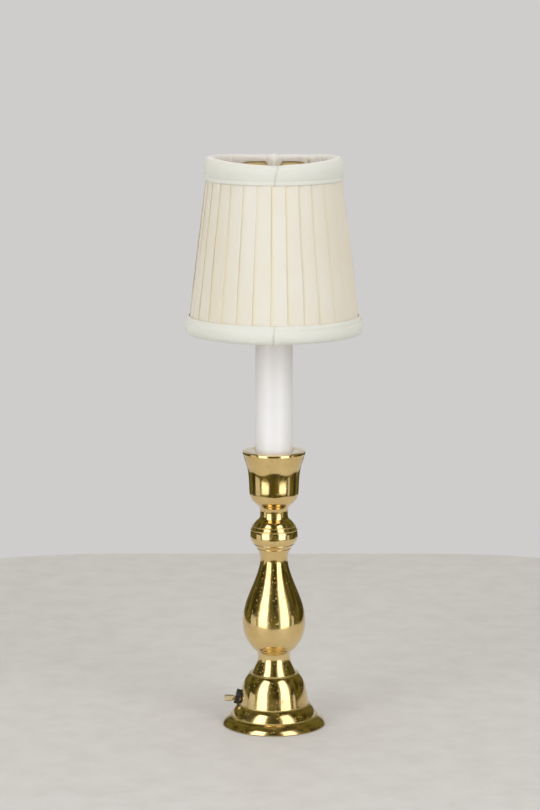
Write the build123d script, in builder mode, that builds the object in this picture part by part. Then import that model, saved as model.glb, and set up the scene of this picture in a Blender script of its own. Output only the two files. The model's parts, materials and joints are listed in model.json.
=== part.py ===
from build123d import *

import os
from math import atan2, cos, pi, radians, sin, sqrt

os.makedirs("parts", exist_ok=True)

# Candlestick lamp. Millimetres, +Z up, origin on the table under the middle of the base.
# -Y is the front, where the shade's seams are; the switch stands out at -X.

# ---- Turned brass column: radii and heights of each piece, from the table up ----
foot_radius = 32.5
foot_edge = 0.6  # small bevel round the resting edge
foot_land = 3.2  # width of the ring that rests on the table
lower_step_height = 6.2
lower_step_radius = 27.1
lower_step_bulge = 0.7
upper_step_height = 7.2
upper_step_radius = 22.4
upper_step_bulge = 0.7
step_ledge = 0.5  # top of each step, outside the tier above it
step_edge = 0.3  # rounding of each step's upper edge
dome_height = 19.6
dome_flank_height = 8.9
dome_flank_inset = 1.5  # inside the dome's foot
dome_shoulder_height = 15.6
dome_shoulder_inset = 3.8
dome_top_inset = 6.8
base_wall = 2.4
base_ceiling = 4.0
ceiling_inset = 9.1  # cavity's ceiling inside the dome's foot

neck_height = 16.0
neck_foot_radius = 13.7
neck_low_height = 4.9
neck_low_radius = 11.5
neck_waist_height = 8.6
neck_waist_radius = 10.3
neck_top_radius = 13.3

vase_height = 56.0
vase_foot_radius = 13.6
vase_belly_height = 17.4
vase_belly_radius = 19.8
vase_shoulder_height = 31.4
vase_shoulder_radius = 17.0
vase_throat_height = 43.0
vase_throat_radius = 12.35
vase_waist_radius = 8.6

knop_height = 29.5
knop_cone_height = 10.0
knop_cone_radius = 12.2
knop_edge_height = 16.0
knop_edge_radius = 14.9
knop_barrel_height = 19.8
knop_barrel_radius = 14.45
knop_cove_height = 22.4
knop_cove_radius = 13.2
knop_flank_height = 26.0
knop_flank_radius = 10.6
knop_top_radius = 8.7
knop_line_low = 8.1  # two incised lines on the cone
knop_line_high = 10.9
knop_bead_low = 20.1  # two raised beads under the cove
knop_bead_high = 22.4
groove_radius = 0.45
bead_radius = 0.55

cup_height = 40.4
cup_stem_height = 4.3
cup_stem_radius = 9.3
cup_bowl_height = 9.0
cup_bowl_radius = 13.6
cup_heel_height = 11.6
cup_heel_radius = 14.9
cup_body_height = 16.0
cup_body_radius = 15.6
cup_flare_height = 30.5
cup_flare_radius = 17.1
cup_throat_height = 35.3
cup_throat_radius = 18.6
cup_lip_drop = 1.6  # height of the lip's upright edge
cup_lip_radius = 19.7
cup_lip_crown = 0.4  # how far the lip's top falls towards its edge
cup_dish = 0.5  # how far it falls towards the sleeve
cup_floor = 16.0  # solid brass under the nut well

# ---- Threaded pipe that clamps the column together, with its nuts and washers ----
pipe_radius = 4.9
pipe_bore_radius = 3.3
pipe_hole_clearance = 0.3
seat_clearance = 0.03  # between pieces that are screwed, pressed or riveted together
pipe_tail = 2.0  # thread that shows past the last piece at each end
nut_radius = 8.2  # across the corners
nut_height = 5.0
nut_well_clearance = 0.7
base_washer_radius = 10.5
base_washer_thickness = 1.5
cup_washer_radius = 8.0
cup_washer_thickness = 0.8

# ---- Candle sleeve ----
tube_radius = 11.55
tube_wall = 1.1
tube_length = 101.6
tube_seat_depth = 17.2  # how deep the sleeve stands in the cup
tube_clearance = 0.15
tube_edge = 0.4

# ---- Candelabra socket on its bracket ----
socket_drop = 1.0  # socket mouth below the sleeve's mouth
socket_radius = 9.7
socket_length = 34.0
socket_edge = 0.6
socket_floor = 5.0
socket_chamber_radius = 5.2
shell_length = 21.0
shell_wall = 0.4
shell_drop = 0.5  # shell's rim below the socket's mouth
shell_clearance = 0.1  # round the bulb's cap
contact_thickness = 0.5
contact_width = 4.0
contact_reach = 3.4
contact_bend = 1.4
contact_gap = 0.05  # under the bulb's tip
bracket_collar_radius = 7.0
bracket_collar_height = 6.0
bracket_thickness = 1.2
bracket_width = 7.0
bracket_bend = 2.0
bracket_tab_reach = 4.2
rivet_radius = 1.3
rivet_head_radius = 2.2
rivet_head_height = 0.9
terminal_radius = 1.8
terminal_height = 1.6
terminal_spread = 6.4
terminal_slot = 0.6
terminal_shank_radius = 0.9
terminal_shank_length = 3.5

# ---- Toggle switch through the base's left flank ----
switch_height = 16.7  # height of its axis at the ring nut's inner face
switch_tilt = 15.0  # the ring nut leans back on the step and the dome
lever_throw = 15.0  # each way from the switch's own axis
bushing_radius = 3.175
bushing_hole_clearance = 0.15
ring_nut_radius = 4.7
ring_nut_thickness = 2.8
ring_nut_seat_clearance = 0.1
ring_nut_notches = 6
ring_nut_notch_radius = 1.0
lever_pivot_depth = 2.1  # below the ring nut's inner face
lever_ball_radius = 2.4
lever_clearance = 0.05
lever_throat_radius = 1.68  # bushing's narrowest place, above the ball
lever_mouth_radius = 2.75
lever_root_radius = 1.1
lever_root_length = 4.4
lever_tip_radius = 1.95
lever_taper = 2.4
lever_length = 11.6
lever_tip_edge = 0.35
lever_tail_radius = 0.9
lever_tail_length = 3.0
lock_washer_radius = 4.4
lock_washer_thickness = 0.6
lock_washer_notches = 12
lock_washer_notch_radius = 0.4
lock_washer_gap = 0.15  # between the washer's middle and the curved wall
housing_width = 11.5
housing_height = 7.0
housing_depth = 9.0
housing_edge = 0.6
housing_pocket = 3.6
lug_width = 2.4
lug_thickness = 0.8
lug_length = 4.0
lug_spread = 3.2
lug_hole_radius = 0.6

# ---- Cord inlet at the back of the base ----
inlet_height = 18.7
inlet_gap = 0.3  # the flange's flat face off the crowned dome
inlet_bore_radius = 3.2
inlet_barrel_radius = 3.9
inlet_hole_clearance = 0.1
inlet_flange_radius = 4.8
inlet_flange_thickness = 1.4
inlet_flange_edge = 0.4
inlet_barb_radius = 4.3
inlet_barb_length = 0.8
inlet_tail = 0.6  # barrel past the barb

# ---- Candle bulb ----
cap_radius = 5.95
cap_wall = 0.35
cap_length = 24.0
cap_tip_height = 1.1
cap_tip_radius = 2.3
cap_insulator_height = 2.3
cap_insulator_radius = 3.0
bulb_neck_depth = 3.0  # glass inside the cap
bulb_neck_clearance = 0.1
bulb_root_height = 2.0
bulb_root_radius = 7.0
bulb_radius = 17.5
bulb_widest_height = 31.0
bulb_shoulder_height = 54.0
bulb_shoulder_radius = 12.2
bulb_height = 73.0
bulb_wall = 0.6
stem_flare_height = 8.0
stem_height = 15.0
stem_radius = 1.6
filament_radius = 0.3
filament_height = 18.0  # above the stem
filament_width = 9.0
filament_bend = 2.0

# ---- Shade: a pleated cone on a wire frame, clipped on the bulb ----
shade_height = 107.0
shade_top_radius = 40.4
shade_bottom_radius = 53.4
pleat_count = 32
pleat_depth = 0.95
pleat_drift = 0.12  # unevenness of the hand-laid pleats, as a share of one pleat
pleat_step = 0.06  # width of each pleat's folded edge, as a share of one pleat
cover_thickness = 1.5
ring_wire_radius = 1.1
rib_wire_radius = 1.0
rib_count = 6
rib_first_angle = 0.0
frame_clearance = 0.05
lining_thickness = 0.4
trim_height = 12.4
trim_thickness = 0.8
trim_clearance = 0.1
trim_round = 1.6
trim_hem = 4.4  # how far the trim folds down inside
top_trim_puff = 0.45
bottom_trim_puff = 1.3
clip_wire_radius = 0.9
clip_clearance = 0.2  # between the clip's wire and the glass
clip_loop_half_width = 9.0
clip_loop_above = 21.0  # loop's top above the bulb's widest place
clip_loop_below = 18.0
clip_loop_bend = 7.0
clip_rise = 43.35  # from the loop's top to the shade's top ring
clip_knee = 5.0
clip_knee_bend = 4.0
clip_weld = 0.4  # how deep the welded wires sink into each other
clip_slot_clearance = 0.3

# ---- Levels and radii that follow from the stack ----
lower_step_z = lower_step_height
upper_step_z = lower_step_z + upper_step_height
base_top_z = upper_step_z + dome_height
ceiling_z = base_top_z - base_ceiling
neck_top_z = base_top_z + neck_height
vase_top_z = neck_top_z + vase_height
knop_top_z = vase_top_z + knop_height
cup_top_z = knop_top_z + cup_height
cup_floor_z = knop_top_z + cup_floor
tube_seat_z = cup_top_z - tube_seat_depth
tube_top_z = tube_seat_z + tube_length
base_nut_z = ceiling_z - base_washer_thickness - nut_height
pipe_bottom_z = base_nut_z - pipe_tail
cup_nut_z = cup_floor_z + cup_washer_thickness
collar_z = cup_nut_z + nut_height
pipe_top_z = collar_z + bracket_collar_height + pipe_tail
socket_top_z = tube_top_z - socket_drop
socket_base_z = socket_top_z - socket_length
socket_floor_z = socket_base_z + socket_floor
bulb_tip_z = socket_top_z - cap_length
bulb_widest_z = socket_top_z + bulb_widest_height
loop_top_z = bulb_widest_z + clip_loop_above
loop_bottom_z = bulb_widest_z - clip_loop_below
top_ring_z = loop_top_z + clip_rise
hem_depth = trim_thickness + frame_clearance  # fabric edges below the trim's outer edge
shade_top_z = top_ring_z + ring_wire_radius + hem_depth
shade_bottom_z = shade_top_z - shade_height
bottom_ring_z = shade_bottom_z + ring_wire_radius + hem_depth

dome_foot_radius = upper_step_radius - step_ledge
dome_flank_radius = dome_foot_radius - dome_flank_inset
dome_shoulder_radius = dome_foot_radius - dome_shoulder_inset
dome_top_radius = dome_foot_radius - dome_top_inset
pipe_hole_radius = pipe_radius + pipe_hole_clearance
thread_radius = pipe_radius + seat_clearance
nut_well_radius = nut_radius + nut_well_clearance
cup_bore_radius = tube_radius + tube_clearance
shell_bore_radius = cap_radius + shell_clearance
shell_radius = shell_bore_radius + shell_wall

# Layers of the shade, as insets from the cone through the pleats' crests
frame_inset = cover_thickness + frame_clearance + ring_wire_radius
lining_inset = frame_inset + ring_wire_radius + frame_clearance
hem_inset = lining_inset + lining_thickness + trim_clearance


def dome_radius(z):
    # outside of the dome between its foot and its flank
    return dome_foot_radius - dome_flank_inset * (z - upper_step_z) / dome_flank_height


def step_crest(radius, z):
    # middle of the arc that rounds a step's upper edge
    cut = step_edge * (1 - sqrt(0.5))
    return radius - cut, z - cut


def shade_radius(z, inset=0.0):
    # the shade's cone through the pleats' crests; the inset goes inwards
    share = (z - shade_bottom_z) / shade_height
    return shade_bottom_radius + (shade_top_radius - shade_bottom_radius) * share - inset


# ======== The switch's and the cord inlet's planes on the base's flank ========

# The ring nut's inner face leans on the upper step's edge and on the dome above it.
tilt = radians(switch_tilt)
nut_face_reach = upper_step_radius * cos(tilt) + upper_step_z * sin(tilt) + seat_clearance
nut_face_x = -(nut_face_reach - switch_height * sin(tilt)) / cos(tilt)
switch_plane = Plane(
    origin=(nut_face_x, 0, switch_height),
    x_dir=(0, 1, 0),
    z_dir=(-cos(tilt), 0, sin(tilt)),
)
switch_section = Plane(
    origin=switch_plane.origin,
    x_dir=(0, 1, 0),
    z_dir=(sin(tilt), 0, cos(tilt)),
)
switch_axis = Axis(switch_plane.origin, switch_plane.z_dir)

# The lock washer's edges touch the curved inside of the wall.
flank_inside = dome_radius(switch_height) - base_wall
washer_chord = sqrt(flank_inside**2 - lock_washer_radius**2)
washer_gap = nut_face_reach - washer_chord * cos(tilt) - switch_height * sin(tilt)
washer_depth = washer_gap / cos(tilt) ** 2 + lock_washer_gap
housing_face_depth = washer_depth + lock_washer_thickness

# The inlet's flange lies on the dome at the back, square to its flank.
inlet_lean = atan2(dome_flank_inset, dome_flank_height)
inlet_y = dome_radius(inlet_height) + inlet_gap
inlet_plane = Plane(
    origin=(0, inlet_y, inlet_height),
    x_dir=(1, 0, 0),
    z_dir=(0, cos(inlet_lean), sin(inlet_lean)),
)
inlet_section = Plane(
    origin=inlet_plane.origin,
    x_dir=(1, 0, 0),
    z_dir=(0, -sin(inlet_lean), cos(inlet_lean)),
)
inlet_axis = Axis(inlet_plane.origin, inlet_plane.z_dir)
inlet_inside = dome_radius(inlet_height) - base_wall
barb_chord = sqrt(inlet_inside**2 - inlet_barb_radius**2)
inlet_barb_depth = (inlet_y - barb_chord) / cos(inlet_lean) + inlet_hole_clearance


# ======== The column ========

# Base: two steps and a dome, cast hollow, drilled for the pipe, the switch and the cord,
# with a shallow seat where the switch's ring nut crosses the step's edge
with BuildPart() as base:
    with BuildSketch(Plane.XZ):
        with BuildLine():
            sole = Line((0, 0), (foot_radius - foot_edge, 0))
            edge = Line(sole @ 1, (foot_radius, foot_edge))
            tier_1 = SagittaArc(edge @ 1, (lower_step_radius, lower_step_z - step_edge), -lower_step_bulge)
            round_1 = ThreePointArc(
                tier_1 @ 1,
                step_crest(lower_step_radius, lower_step_z),
                (lower_step_radius - step_edge, lower_step_z),
            )
            ledge_1 = Line(round_1 @ 1, (lower_step_radius - step_ledge, lower_step_z))
            tier_2 = SagittaArc(ledge_1 @ 1, (upper_step_radius, upper_step_z - step_edge), -upper_step_bulge)
            round_2 = ThreePointArc(
                tier_2 @ 1,
                step_crest(upper_step_radius, upper_step_z),
                (upper_step_radius - step_edge, upper_step_z),
            )
            ledge_2 = Line(round_2 @ 1, (dome_foot_radius, upper_step_z))
            dome = Spline(
                ledge_2 @ 1,
                (dome_flank_radius, upper_step_z + dome_flank_height),
                (dome_shoulder_radius, upper_step_z + dome_shoulder_height),
                (dome_top_radius, base_top_z),
            )
            Polyline(dome @ 1, (0, base_top_z), (0, 0))
        make_face()
    revolve(axis=Axis.Z)
    with BuildSketch(Plane.XZ):
        with BuildLine():
            inner_slopes = Polyline(
                (0, 0),
                (foot_radius - foot_land, 0),
                (lower_step_radius - step_ledge - base_wall, lower_step_z),
                (dome_foot_radius - base_wall, upper_step_z),
            )
            inner_dome = Spline(
                inner_slopes @ 1,
                (dome_flank_radius - base_wall, upper_step_z + dome_flank_height),
                (dome_foot_radius - ceiling_inset, ceiling_z),
            )
            Polyline(inner_dome @ 1, (0, ceiling_z), (0, 0))
        make_face()
    revolve(axis=Axis.Z, mode=Mode.SUBTRACT)
    with BuildSketch(Plane.XY.offset(ceiling_z)):
        Circle(pipe_hole_radius)
    extrude(amount=base_ceiling, mode=Mode.SUBTRACT)
    with BuildSketch(switch_plane):
        Circle(bushing_radius + bushing_hole_clearance)
    extrude(amount=-housing_face_depth - base_wall, mode=Mode.SUBTRACT)
    with BuildSketch(switch_plane):
        Circle(ring_nut_radius + ring_nut_seat_clearance)
    extrude(amount=ring_nut_thickness, mode=Mode.SUBTRACT)
    with BuildSketch(inlet_plane):
        Circle(inlet_barrel_radius + inlet_hole_clearance)
    extrude(amount=-inlet_barb_depth - base_wall, mode=Mode.SUBTRACT)
base.part.label = "base"
export_step(base.part, "parts/base.step")

# Neck: a waisted collar between the dome and the vase
with BuildPart() as neck:
    with BuildSketch(Plane.XZ):
        with BuildLine():
            neck_side = Spline(
                (neck_foot_radius, base_top_z),
                (neck_low_radius, base_top_z + neck_low_height),
                (neck_waist_radius, base_top_z + neck_waist_height),
                (neck_top_radius, neck_top_z),
            )
            Polyline(neck_side @ 1, (pipe_hole_radius, neck_top_z), (pipe_hole_radius, base_top_z), neck_side @ 0)
        make_face()
    revolve(axis=Axis.Z)
neck.part.label = "neck"
export_step(neck.part, "parts/neck.step")

# Vase: the baluster of the column
with BuildPart() as vase:
    with BuildSketch(Plane.XZ):
        with BuildLine():
            vase_side = Spline(
                (vase_foot_radius, neck_top_z),
                (vase_belly_radius, neck_top_z + vase_belly_height),
                (vase_shoulder_radius, neck_top_z + vase_shoulder_height),
                (vase_throat_radius, neck_top_z + vase_throat_height),
                (vase_waist_radius, vase_top_z),
            )
            Polyline(vase_side @ 1, (pipe_hole_radius, vase_top_z), (pipe_hole_radius, neck_top_z), vase_side @ 0)
        make_face()
    revolve(axis=Axis.Z)
vase.part.label = "vase"
export_step(vase.part, "parts/vase.step")

# Knop: a flared cone with two turned lines, a rounded edge and a cove above two beads
with BuildPart() as knop:
    with BuildSketch(Plane.XZ):
        with BuildLine():
            knop_cone = Spline(
                (vase_waist_radius, vase_top_z),
                (knop_cone_radius, vase_top_z + knop_cone_height),
                (knop_edge_radius, vase_top_z + knop_edge_height),
                tangents=((0, 1), (0, 1)),
            )
            knop_shoulder = Spline(
                knop_cone @ 1,
                (knop_barrel_radius, vase_top_z + knop_barrel_height),
                (knop_cove_radius, vase_top_z + knop_cove_height),
                (knop_flank_radius, vase_top_z + knop_flank_height),
                (knop_top_radius, knop_top_z),
                tangents=((0, 1), (0, 1)),
            )
            Polyline(knop_shoulder @ 1, (pipe_hole_radius, knop_top_z), (pipe_hole_radius, vase_top_z), knop_cone @ 0)
        make_face()
    revolve(axis=Axis.Z)
    for side, heights, radius, mode in (
        (knop_cone, (knop_line_low, knop_line_high), groove_radius, Mode.SUBTRACT),
        (knop_shoulder, (knop_bead_low, knop_bead_high), bead_radius, Mode.ADD),
    ):
        with BuildSketch(Plane.XZ):
            for line_height in heights:
                level = vase_top_z + line_height
                crossing = side.find_intersection_points(Axis((0, level, 0), (1, 0, 0)))
                with Locations((crossing[0].X, level)):
                    Circle(radius)
        revolve(axis=Axis.Z, mode=mode)
knop.part.label = "knop"
export_step(knop.part, "parts/knop.step")

# Cup: holds the candle sleeve, with a well in its floor for the nut
with BuildPart() as cup:
    with BuildSketch(Plane.XZ):
        with BuildLine():
            cup_bowl = Spline(
                (knop_top_radius, knop_top_z),
                (cup_stem_radius, knop_top_z + cup_stem_height),
                (cup_bowl_radius, knop_top_z + cup_bowl_height),
                (cup_heel_radius, knop_top_z + cup_heel_height),
                (cup_body_radius, knop_top_z + cup_body_height),
                tangents=((0, 1), (0.05, 1)),
            )
            cup_wall = Spline(
                cup_bowl @ 1,
                (cup_flare_radius, knop_top_z + cup_flare_height),
                (cup_throat_radius, knop_top_z + cup_throat_height),
                (cup_lip_radius, cup_top_z - cup_lip_drop),
                tangents=((0.05, 1), (1, 2.2)),
            )
            cup_lip = Line(cup_wall @ 1, (cup_lip_radius, cup_top_z - cup_lip_crown))
            cup_crown = ThreePointArc(
                cup_lip @ 1,
                (cup_lip_radius - cup_lip_crown - cup_lip_drop, cup_top_z),
                (cup_bore_radius, cup_top_z - cup_dish),
            )
            Polyline(
                cup_crown @ 1,
                (cup_bore_radius, tube_seat_z),
                (nut_well_radius, tube_seat_z),
                (nut_well_radius, cup_floor_z),
                (pipe_hole_radius, cup_floor_z),
                (pipe_hole_radius, knop_top_z),
                cup_bowl @ 0,
            )
        make_face()
    revolve(axis=Axis.Z)
cup.part.label = "cup"
export_step(cup.part, "parts/cup.step")


# ======== What clamps the column together ========

# Threaded pipe from inside the base up through the cup's floor
with BuildPart() as threaded_pipe:
    with BuildSketch(Plane.XY.offset(pipe_bottom_z)):
        Circle(pipe_radius)
        Circle(pipe_bore_radius, mode=Mode.SUBTRACT)
    extrude(amount=pipe_top_z - pipe_bottom_z)
threaded_pipe.part.label = "threaded_pipe"
export_step(threaded_pipe.part, "parts/threaded_pipe.step")

# Washer and nut inside the base
with BuildPart() as base_washer:
    with BuildSketch(Plane.XY.offset(ceiling_z - base_washer_thickness)):
        Circle(base_washer_radius)
        Circle(pipe_hole_radius, mode=Mode.SUBTRACT)
    extrude(amount=base_washer_thickness)
base_washer.part.label = "base_washer"
export_step(base_washer.part, "parts/base_washer.step")

with BuildPart() as base_nut:
    with BuildSketch(Plane.XY.offset(base_nut_z)):
        RegularPolygon(radius=nut_radius, side_count=6)
        Circle(thread_radius, mode=Mode.SUBTRACT)
    extrude(amount=nut_height)
base_nut.part.label = "base_nut"
export_step(base_nut.part, "parts/base_nut.step")

# Washer and nut in the cup's well
with BuildPart() as cup_washer:
    with BuildSketch(Plane.XY.offset(cup_floor_z)):
        Circle(cup_washer_radius)
        Circle(pipe_hole_radius, mode=Mode.SUBTRACT)
    extrude(amount=cup_washer_thickness)
cup_washer.part.label = "cup_washer"
export_step(cup_washer.part, "parts/cup_washer.step")

with BuildPart() as cup_nut:
    with BuildSketch(Plane.XY.offset(cup_nut_z)):
        RegularPolygon(radius=nut_radius, side_count=6)
        Circle(thread_radius, mode=Mode.SUBTRACT)
    extrude(amount=nut_height)
cup_nut.part.label = "cup_nut"
export_step(cup_nut.part, "parts/cup_nut.step")


# ======== Socket inside the candle sleeve ========

# Bracket: a collar screwed on the pipe and a strip bent over under the socket
strip_x = bracket_collar_radius - seat_clearance
tab_z = socket_base_z - bracket_thickness / 2
with BuildPart() as socket_bracket:
    with BuildSketch(Plane.XY.offset(collar_z)):
        Circle(bracket_collar_radius)
    extrude(amount=bracket_collar_height)
    with BuildSketch(Plane.XZ):
        with BuildLine():
            FilletPolyline(
                (strip_x, collar_z),
                (strip_x, tab_z),
                (-bracket_tab_reach, tab_z),
                radius=bracket_bend,
            )
        trace(line_width=bracket_thickness)
    extrude(amount=bracket_width / 2, both=True)
    with BuildSketch(Plane.XY.offset(collar_z)):
        Circle(thread_radius)
    extrude(amount=bracket_collar_height, mode=Mode.SUBTRACT)
    with BuildSketch(Plane.XY.offset(tab_z - bracket_thickness)):
        Circle(rivet_radius + seat_clearance)
    extrude(amount=2 * bracket_thickness, mode=Mode.SUBTRACT)
socket_bracket.part.label = "socket_bracket"
export_step(socket_bracket.part, "parts/socket_bracket.step")

# Socket body, moulded, with a bore for the screw shell and a chamber under it
shell_bottom_z = socket_top_z - shell_drop - shell_length
with BuildPart() as socket_body:
    with BuildSketch(Plane.XY.offset(socket_base_z)):
        Circle(socket_radius)
    extrude(amount=socket_length)
    chamfer(socket_body.edges().group_by(Axis.Z)[-1], socket_edge)
    with BuildSketch(Plane.XY.offset(shell_bottom_z)):
        Circle(shell_radius + seat_clearance)
    extrude(amount=socket_length, mode=Mode.SUBTRACT)
    with BuildSketch(Plane.XY.offset(socket_floor_z)):
        Circle(socket_chamber_radius)
    extrude(amount=socket_length, mode=Mode.SUBTRACT)
    with BuildSketch(Plane.XY.offset(socket_base_z)):
        Circle(rivet_radius + seat_clearance)
        with Locations((0, terminal_spread), (0, -terminal_spread)):
            Circle(terminal_shank_radius + seat_clearance)
    extrude(amount=terminal_shank_length, mode=Mode.SUBTRACT)
    with BuildSketch(Plane.XY.offset(socket_base_z)):
        Circle(rivet_radius + seat_clearance)
    extrude(amount=socket_floor, mode=Mode.SUBTRACT)
socket_body.part.label = "socket_body"
export_step(socket_body.part, "parts/socket_body.step")

with BuildPart() as screw_shell:
    with BuildSketch(Plane.XY.offset(shell_bottom_z)):
        Circle(shell_radius)
        Circle(shell_bore_radius, mode=Mode.SUBTRACT)
    extrude(amount=shell_length)
screw_shell.part.label = "screw_shell"
export_step(screw_shell.part, "parts/screw_shell.step")

# Centre contact: a leaf bent back over itself, up to the bulb's tip
leaf_base_z = socket_floor_z + contact_thickness / 2
leaf_top_z = bulb_tip_z - contact_gap - contact_thickness / 2
with BuildPart() as socket_contact:
    with BuildSketch(Plane.XZ):
        with BuildLine():
            FilletPolyline(
                (-contact_reach, leaf_base_z),
                (contact_reach, leaf_base_z),
                (contact_reach, leaf_top_z),
                (-rivet_radius, leaf_top_z),
                radius=contact_bend,
            )
        trace(line_width=contact_thickness)
    extrude(amount=contact_width / 2, both=True)
    with BuildSketch(Plane.XY.offset(socket_floor_z)):
        Circle(rivet_radius + seat_clearance)
    extrude(amount=contact_bend, mode=Mode.SUBTRACT)
socket_contact.part.label = "socket_contact"
export_step(socket_contact.part, "parts/socket_contact.step")

# Rivet through the bracket's tab, the socket's floor and the contact
rivet_bottom_z = tab_z - bracket_thickness / 2
rivet_top_z = socket_floor_z + contact_thickness
with BuildPart() as socket_rivet:
    with BuildSketch(Plane.XY.offset(rivet_bottom_z - rivet_head_height)):
        Circle(rivet_head_radius)
    extrude(amount=rivet_head_height)
    with BuildSketch(Plane.XY.offset(rivet_bottom_z)):
        Circle(rivet_radius)
    extrude(amount=rivet_top_z - rivet_bottom_z)
    with BuildSketch(Plane.XY.offset(rivet_top_z)):
        Circle(rivet_head_radius)
    extrude(amount=rivet_head_height)
socket_rivet.part.label = "socket_rivet"
export_step(socket_rivet.part, "parts/socket_rivet.step")

# Two slotted terminal screws under the socket
with BuildPart() as terminal_screws:
    with BuildSketch(Plane.XY.offset(socket_base_z - terminal_height)):
        with Locations((0, terminal_spread), (0, -terminal_spread)):
            Circle(terminal_radius)
    extrude(amount=terminal_height)
    with BuildSketch(Plane.XY.offset(socket_base_z)):
        with Locations((0, terminal_spread), (0, -terminal_spread)):
            Circle(terminal_shank_radius)
    extrude(amount=terminal_shank_length - terminal_slot)
    with BuildSketch(Plane.XY.offset(socket_base_z - terminal_height)):
        with Locations((0, terminal_spread), (0, -terminal_spread)):
            Rectangle(2 * terminal_radius, terminal_slot)
    extrude(amount=terminal_slot, mode=Mode.SUBTRACT)
terminal_screws.part.label = "terminal_screws"
export_step(terminal_screws.part, "parts/terminal_screws.step")


# ======== Toggle switch ========

# Threaded bushing: bore, ball seat and a flared mouth for the lever's throw
seat_radius = lever_ball_radius + lever_clearance
throat_reach = sqrt(seat_radius**2 - lever_throat_radius**2)
seat_middle = seat_radius / sqrt(2)
with BuildPart() as switch_bushing:
    with BuildSketch(switch_section):
        with BuildLine():
            bushing_side = Polyline(
                (seat_radius, -lever_pivot_depth),
                (seat_radius, -housing_face_depth),
                (bushing_radius, -housing_face_depth),
                (bushing_radius, ring_nut_thickness),
                (lever_mouth_radius, ring_nut_thickness),
                (lever_throat_radius, throat_reach - lever_pivot_depth),
            )
            ThreePointArc(
                bushing_side @ 1,
                (seat_middle, seat_middle - lever_pivot_depth),
                bushing_side @ 0,
            )
        make_face()
    revolve(axis=switch_axis)
switch_bushing.part.label = "switch_bushing"
export_step(switch_bushing.part, "parts/switch_bushing.step")

# Notched ring nut outside the base and toothed lock washer inside it
with BuildPart() as switch_ring_nut:
    with BuildSketch(switch_plane):
        Circle(ring_nut_radius)
        Circle(bushing_radius + seat_clearance, mode=Mode.SUBTRACT)
        with PolarLocations(ring_nut_radius, ring_nut_notches):
            Circle(ring_nut_notch_radius, mode=Mode.SUBTRACT)
    extrude(amount=ring_nut_thickness)
switch_ring_nut.part.label = "switch_ring_nut"
export_step(switch_ring_nut.part, "parts/switch_ring_nut.step")

with BuildPart() as switch_lock_washer:
    with BuildSketch(switch_plane.offset(-washer_depth)):
        Circle(lock_washer_radius)
        Circle(bushing_radius + seat_clearance, mode=Mode.SUBTRACT)
        with PolarLocations(lock_washer_radius, lock_washer_notches):
            Circle(lock_washer_notch_radius, mode=Mode.SUBTRACT)
    extrude(amount=-lock_washer_thickness)
switch_lock_washer.part.label = "switch_lock_washer"
export_step(switch_lock_washer.part, "parts/switch_lock_washer.step")

# Switch housing with a pocket for the lever's tail
with BuildPart() as switch_housing:
    with BuildSketch(switch_plane.offset(-housing_face_depth)):
        RectangleRounded(housing_width, housing_height, housing_edge)
    extrude(amount=-housing_depth)
    with BuildSketch(switch_plane.offset(-housing_face_depth)):
        Circle(seat_radius)
    extrude(amount=-housing_pocket, mode=Mode.SUBTRACT)
switch_housing.part.label = "switch_housing"
export_step(switch_housing.part, "parts/switch_housing.step")

# Two solder lugs behind the housing, each with a wire hole
lug_start = housing_face_depth + housing_depth
lug_hole_depth = lug_start + lug_length - lug_width / 2
with BuildPart() as switch_terminals:
    with BuildSketch(switch_plane.offset(-lug_start)):
        with Locations((lug_spread, 0), (-lug_spread, 0)):
            Rectangle(lug_thickness, lug_width)
    extrude(amount=-lug_length)
    with BuildSketch(Plane(origin=switch_plane.offset(-lug_hole_depth).origin, z_dir=(0, 1, 0))):
        Circle(lug_hole_radius)
    extrude(amount=housing_width / 2, both=True, mode=Mode.SUBTRACT)
switch_terminals.part.label = "switch_terminals"
export_step(switch_terminals.part, "parts/switch_terminals.step")

# Bat lever: tail, ball, thin root and a flared, flat-ended tip, shown thrown down
lever_lean = radians(switch_tilt - lever_throw)
pivot = switch_plane.offset(-lever_pivot_depth).origin
lever_section = Plane(
    origin=pivot,
    x_dir=(0, 1, 0),
    z_dir=(sin(lever_lean), 0, cos(lever_lean)),
)
lever_axis = Axis(pivot, (-cos(lever_lean), 0, sin(lever_lean)))
lever_tail_end = lever_ball_radius + lever_tail_length
tail_level = sqrt(lever_ball_radius**2 - lever_tail_radius**2)
root_level = sqrt(lever_ball_radius**2 - lever_root_radius**2)
with BuildPart() as switch_lever:
    with BuildSketch(lever_section):
        with BuildLine():
            tail_side = Polyline(
                (0, -lever_tail_end),
                (lever_tail_radius, -lever_tail_end),
                (lever_tail_radius, -tail_level),
            )
            ThreePointArc(tail_side @ 1, (lever_ball_radius, 0), (lever_root_radius, root_level))
            Polyline(
                (lever_root_radius, root_level),
                (lever_root_radius, lever_root_length),
                (lever_tip_radius, lever_root_length + lever_taper),
                (lever_tip_radius, lever_length - lever_tip_edge),
                (lever_tip_radius - lever_tip_edge, lever_length),
                (0, lever_length),
                tail_side @ 0,
            )
        make_face()
    revolve(axis=lever_axis)
switch_lever.part.label = "switch_lever"
export_step(switch_lever.part, "parts/switch_lever.step")


# ======== Cord inlet ========

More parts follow.
